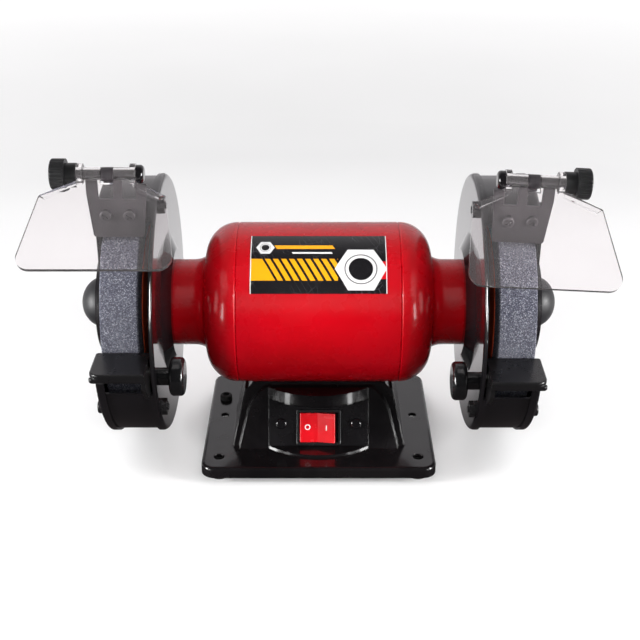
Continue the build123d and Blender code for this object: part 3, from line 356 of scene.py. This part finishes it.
# ---------------------------------------------------------------- printed pieces
def faint_lines(film, x, arc, slant):
    """Grey lines in an irregular net and in a slanting hatch, worn away in places."""
    flat = film.add("CombineXYZ", {0: x, 1: arc}).outputs[0]
    net = film.math("LESS_THAN", film.cells(0.085, "DISTANCE_TO_EDGE", where=flat), 0.012)
    hatch = film.math("LESS_THAN", film.math("FRACT", film.math("DIVIDE", slant, HATCH_PITCH)), 0.06)
    worn = film.level(film.noise(40, 2), (0.45, 0.7), (0, 0.5))
    return film.math("MULTIPLY", film.math("MAXIMUM", net, hatch), worn)


def striped_band(film, x, arc, slant):
    """A band that is solid at its left end and slanting stripes after that."""
    band = film.both(film.inside(arc, *BAND), film.math("LESS_THAN", x, BAND_RIGHT))
    pitches = film.math("DIVIDE", film.math("ADD", slant, -STRIPE_START), STRIPE_PITCH)
    stripe = film.math("LESS_THAN", film.math("FRACT", pitches), STRIPE_SHARE)
    solid = film.math("LESS_THAN", slant, SOLID_RIGHT)
    return film.both(band, film.math("MAXIMUM", stripe, solid))


def nut_sign(film, x, arc, tone, middle, half_flat, hole):
    """A white hexagon with a thin dark ring round its black hole, drawn over tone."""
    away = film.distance(x, arc, middle)
    ring = film.inside(away, hole + half_flat * 0.14, hole + half_flat * 0.19)
    nut = film.both(film.hexagon(x, arc, middle, half_flat), film.math("GREATER_THAN", away, hole))
    tone = film.blend(nut, tone, film.blend(ring, WHITE_INK, (0.10, 0.10, 0.10)))
    return film.blend(film.math("LESS_THAN", away, hole), tone, BLACK_INK)


def front_label(name):
    """Black film with faint lines, a striped orange band, and plain nut signs."""
    film = Shader(name, Coat_Weight=0.6, Coat_Roughness=0.08)
    x, y, z = film.millimetres()
    front = film.math("SUBTRACT", SHAFT_Y, y)
    up = film.math("SUBTRACT", z, SHAFT_Z)
    arc = film.math("MULTIPLY", film.math("ARCTAN2", up, front), LABEL_R)
    above_band = film.math("SUBTRACT", arc, BAND[0])
    slant = film.math("ADD", x, film.math("MULTIPLY", above_band, SLOPE))
    headline = film.both(film.inside(arc, *HEADLINE_UP), film.inside(slant, *HEADLINE_ACROSS))
    underline = film.both(film.inside(arc, *UNDERLINE_UP), film.inside(slant, *UNDERLINE_ACROSS))
    accent = film.both(film.inside(arc, *ACCENT_UP), film.math("GREATER_THAN", x, ACCENT_LEFT))
    ends = film.math("GREATER_THAN", film.math("ABSOLUTE", x), WHITE_ENDS)

    tone = film.blend(faint_lines(film, x, arc, slant), BLACK_INK, (0.11, 0.11, 0.12))
    tone = film.blend(striped_band(film, x, arc, slant), tone, ORANGE_INK)
    tone = film.blend(headline, tone, ORANGE_INK)
    tone = film.blend(underline, tone, WHITE_INK)
    tone = film.blend(accent, tone, RED_INK)
    for sign in (BIG_NUT, SMALL_NUT):
        tone = nut_sign(film, x, arc, tone, *sign)
    film.colour(film.blend(ends, tone, WHITE_INK))
    film.rough(film.level(film.noise(50, 4), (0.3, 0.7), (0.14, 0.26)))
    film.bumps((film.noise(300, 2), 0.04, 0.0002))
    return film.material


def rocker_red(name):
    """Red moulding with a white ring for off and a white bar for on."""
    moulding = Shader(name, Coat_Weight=0.5, Coat_Roughness=0.06)
    x, y, z = moulding.millimetres()
    above, behind = moulding.offsets(z, y, (PEDESTAL_FOOT_Z, PEDESTAL_FOOT_Y))
    rise = moulding.math("MULTIPLY", above, math.cos(PEDESTAL_LEAN))
    up = moulding.math("ADD", rise, moulding.math("MULTIPLY", behind, math.sin(PEDESTAL_LEAN)))
    ring = moulding.inside(moulding.distance(x, up, OFF_RING_MIDDLE), *OFF_RING_RADII)
    bar = moulding.both(moulding.inside(x, *ON_BAR_ACROSS), moulding.inside(up, *ON_BAR_UP))
    cloud = moulding.noise(80, 3)
    tone = moulding.ramp(cloud, (0.3, (0.52, 0.002, 0.006)), (0.7, (0.66, 0.005, 0.012)))
    moulding.colour(moulding.blend(moulding.math("MAXIMUM", ring, bar), tone, (0.82, 0.80, 0.80)))
    moulding.rough(moulding.level(moulding.noise(100, 4), (0.3, 0.7), (0.16, 0.30)))
    moulding.bumps((moulding.noise(900, 2), 0.05, 0.0002))
    return moulding.material


# ---------------------------------------------------------------- which piece has which finish
red = enamel_red("motor enamel")
sheet_black = gloss_black("guard coat")
cover_black = gloss_black("cover coat", rough=(0.10, 0.22), peel=0.08)
rest_black = gloss_black(
    "rest coat", tint=(0.0045, 0.0042, 0.0046), rough=(0.24, 0.34), peel=0.07, edge=0.0009, coat=0.0,
)
bolt_black = gloss_black("bolt coat", rough=(0.06, 0.14))
panel_black = gloss_black("panel coat", rough=(0.22, 0.36), peel=0.12)
zinc = steel(
    "zinc plate", light=(0.72, 0.72, 0.70), dark=(0.45, 0.45, 0.45), rough=(0.22, 0.40), lines=(1, 1, 1),
)
turned = steel("turned steel", light=(0.66, 0.65, 0.64), dark=(0.40, 0.39, 0.39), rough=(0.20, 0.38))
blacked = steel(
    "blacked steel", light=(0.050, 0.048, 0.050), dark=(0.016, 0.015, 0.016), rough=(0.18, 0.34),
    lines=(1, 1, 1), metallic=0.6,
)
ground_steel = steel("bearing steel", light=(0.85, 0.85, 0.84), dark=(0.65, 0.65, 0.66), rough=(0.06, 0.16))
aluminium = steel(
    "cast aluminium", light=(0.72, 0.72, 0.73), dark=(0.50, 0.50, 0.51), rough=(0.32, 0.50), lines=(1, 1, 1),
)
knob = plastic(
    "knob moulding", dark=(0.004, 0.004, 0.0045), light=(0.009, 0.009, 0.0095), rough=(0.12, 0.24),
    grain=500, depth=0.06, coat=0.4,
)
grip = plastic(
    "grip moulding", dark=(0.005, 0.005, 0.0055), light=(0.011, 0.011, 0.0115), rough=(0.32, 0.5), depth=0.18,
)
dome = plastic(
    "hub moulding", dark=(0.009, 0.009, 0.010), light=(0.018, 0.018, 0.020), rough=(0.42, 0.56),
    grain=1100, depth=0.2,
)
switch_black = plastic(
    "switch moulding", dark=(0.008, 0.008, 0.009), light=(0.018, 0.018, 0.019), rough=(0.16, 0.30),
    depth=0.06, coat=0.2,
)
bush = plastic("bush moulding", dark=(0.60, 0.57, 0.50), light=(0.72, 0.70, 0.64), rough=(0.4, 0.55))
block = plastic("terminal moulding", dark=(0.55, 0.52, 0.42), light=(0.66, 0.63, 0.54), rough=(0.35, 0.5))
soft_black = rubber("moulded rubber")
core = laminations("core sheets")

finishes = {
    "motor_tube": red, "end_bell": red, "front_label": front_label("label film"),
    "wheel_guard": sheet_black, "outer_cover": cover_black, "hub_cap": dome, "tool_rest": rest_black,
    "rest_knob": knob, "spark_arrestor": satin_grey("arrestor sheet"), "hinge_bolt": bolt_black,
    "shield_knob": grip, "eye_shield": clear_sheet("clear sheet"), "wheel": abrasive("vitrified grit"),
    "blotters": card("blotting card"), "wheel_bushes": bush, "inner_flanges": turned, "outer_flanges": turned,
    "spindle_nuts": zinc, "shaft": turned, "rotor_core": core, "stator_core": core,
    "rotor_cage": aluminium, "stator_windings": copper("varnished copper"),
    "bearing_outer_rings": ground_steel, "bearing_inner_rings": ground_steel, "bearing_balls": ground_steel,
    "guard_screws": blacked, "guard_nuts": blacked, "neck_screws": blacked, "rest_bolts": blacked,
    "rest_washers": zinc, "arrestor_screws": satin_grey("screw coat"), "base": cast_black("pedestal enamel"),
    "bottom_cover": satin_grey("cover sheet"), "bottom_screws": zinc, "rubber_feet": soft_black,
    "cord_gland": soft_black, "front_panel": panel_black, "panel_screws": bolt_black,
    "switch_body": switch_black, "switch_rocker": rocker_red("rocker moulding"),
    "capacitor": aluminium, "capacitor_clamp": zinc, "terminal_block": block,
    "saddle_bolts": zinc, "saddle_nuts": zinc,
}
for name, finish in finishes.items():
    # A piece that the model has at both ends is named once here.
    members = [name] if name in nodes else [f"{name}_left", f"{name}_right"]
    for member in members:
        for place in nodes[member].material_slots:
            place.material = finish


# ---------------------------------------------------------------- floor, light and camera
def pale_floor(name):
    """White where it is seen, and dark in front of the object for mirrored and bounced light."""
    ground = Shader(name, Specular_IOR_Level=0.1, Emission_Color=(1, 1, 1, 1))
    x, y = ground.millimetres()[:2]
    seen = ground.seen()
    pale = ground.ramp(ground.noise(3, 2), (0.3, (0.90, 0.90, 0.90)), (0.7, (0.93, 0.93, 0.93)))
    behind = ground.level(y, (40, 220), (0, 1))
    mirrored = ground.ramp(behind, (0.0, (0.035, 0.030, 0.031)), (1.0, (0.85, 0.84, 0.85)))
    ground.colour(ground.blend(seen, mirrored, pale))
    far = ground.level(ground.distance(x, y, (0, 50)), (700, 2600), (0, 0.85))
    ground.join(ground.math("MULTIPLY", seen, far), ground.surface, "Emission Strength")
    ground.rough(ground.level(ground.noise(6, 2), (0.3, 0.7), (0.7, 0.8)))
    return ground.material


def studio_floor():
    corners = [(x * FLOOR_HALF, y * FLOOR_HALF, 0) for x, y in ((-1, -1), (1, -1), (1, 1), (-1, 1))]
    mesh = bpy.data.meshes.new("studio_floor")
    mesh.from_pydata(corners, [], [(0, 1, 2, 3)])
    floor = bpy.data.objects.new("studio_floor", mesh)
    bpy.context.scene.collection.objects.link(floor)
    mesh.materials.append(pale_floor("studio floor"))


def soft_lamp(name, place, aim, width, height, watts, shine=True):
    """A rectangle of light that faces aim. Without shine it isn't mirrored in the pieces."""
    lamp = bpy.data.lights.new(name, "AREA")
    lamp.shape = "RECTANGLE"
    lamp.size = width
    lamp.size_y = height
    lamp.energy = watts
    holder = bpy.data.objects.new(name, lamp)
    bpy.context.scene.collection.objects.link(holder)
    holder.location = place
    holder.visible_glossy = shine
    holder.visible_transmission = shine
    direction = Vector(aim) - Vector(place)
    holder.rotation_euler = direction.to_track_quat("-Z", "Y").to_euler()


def studio_lamps():
    for side in (-1, 1):
        soft_lamp(f"side_box_{side}", (side * 1.14, -0.42, 0.32), AIM, 0.34, 0.52, watts=22)
        soft_lamp(f"bell_strip_{side}", (side * 0.90, -0.85, 0.24), AIM, 0.16, 0.42, watts=2.6)
    soft_lamp("overhead_fill", (0, 0.10, 2.40), (0, 0.1, 0.1), 4.0, 4.0, watts=46, shine=False)
    soft_lamp("front_fill", (0, -1.05, 0.62), (0, 0.05, 0.1), 0.7, 0.4, watts=4, shine=False)


def studio_world():
    """Pale where it is seen, and dim where it only lights or mirrors in the pieces."""
    world = bpy.data.worlds.new("studio")
    world.use_nodes = True
    sky = Graph(world.node_tree)
    direction = sky.add("TexCoord").outputs["Generated"]
    toward_back = sky.add("SeparateXYZ", {0: direction}).outputs["Y"]
    dim = sky.tree.nodes["Background"]
    stops = [(place, (light, light * 0.97, light)) for place, light in BACKDROP]
    sky.join(sky.ramp(toward_back, *stops), dim, "Color")
    pale = sky.add("Background", {"Color": (0.90, 0.90, 0.90, 1)})
    choice = sky.add("MixShader", {0: sky.seen(), 1: dim.outputs[0], 2: pale.outputs[0]})
    sky.join(choice.outputs[0], sky.tree.nodes["World Output"], "Surface")
    bpy.context.scene.world = world


def studio_camera():
    camera = bpy.data.objects.new("camera", bpy.data.cameras.new("camera"))
    bpy.context.scene.collection.objects.link(camera)
    camera.data.lens = CAMERA_LENS_MM
    camera.location = CAMERA_PLACE
    camera.rotation_euler = (math.radians(90 - CAMERA_DIP), 0, 0)
    bpy.context.scene.camera = camera


studio_floor()
studio_lamps()
studio_world()
studio_camera()
bpy.context.scene.view_settings.view_transform = "Standard"
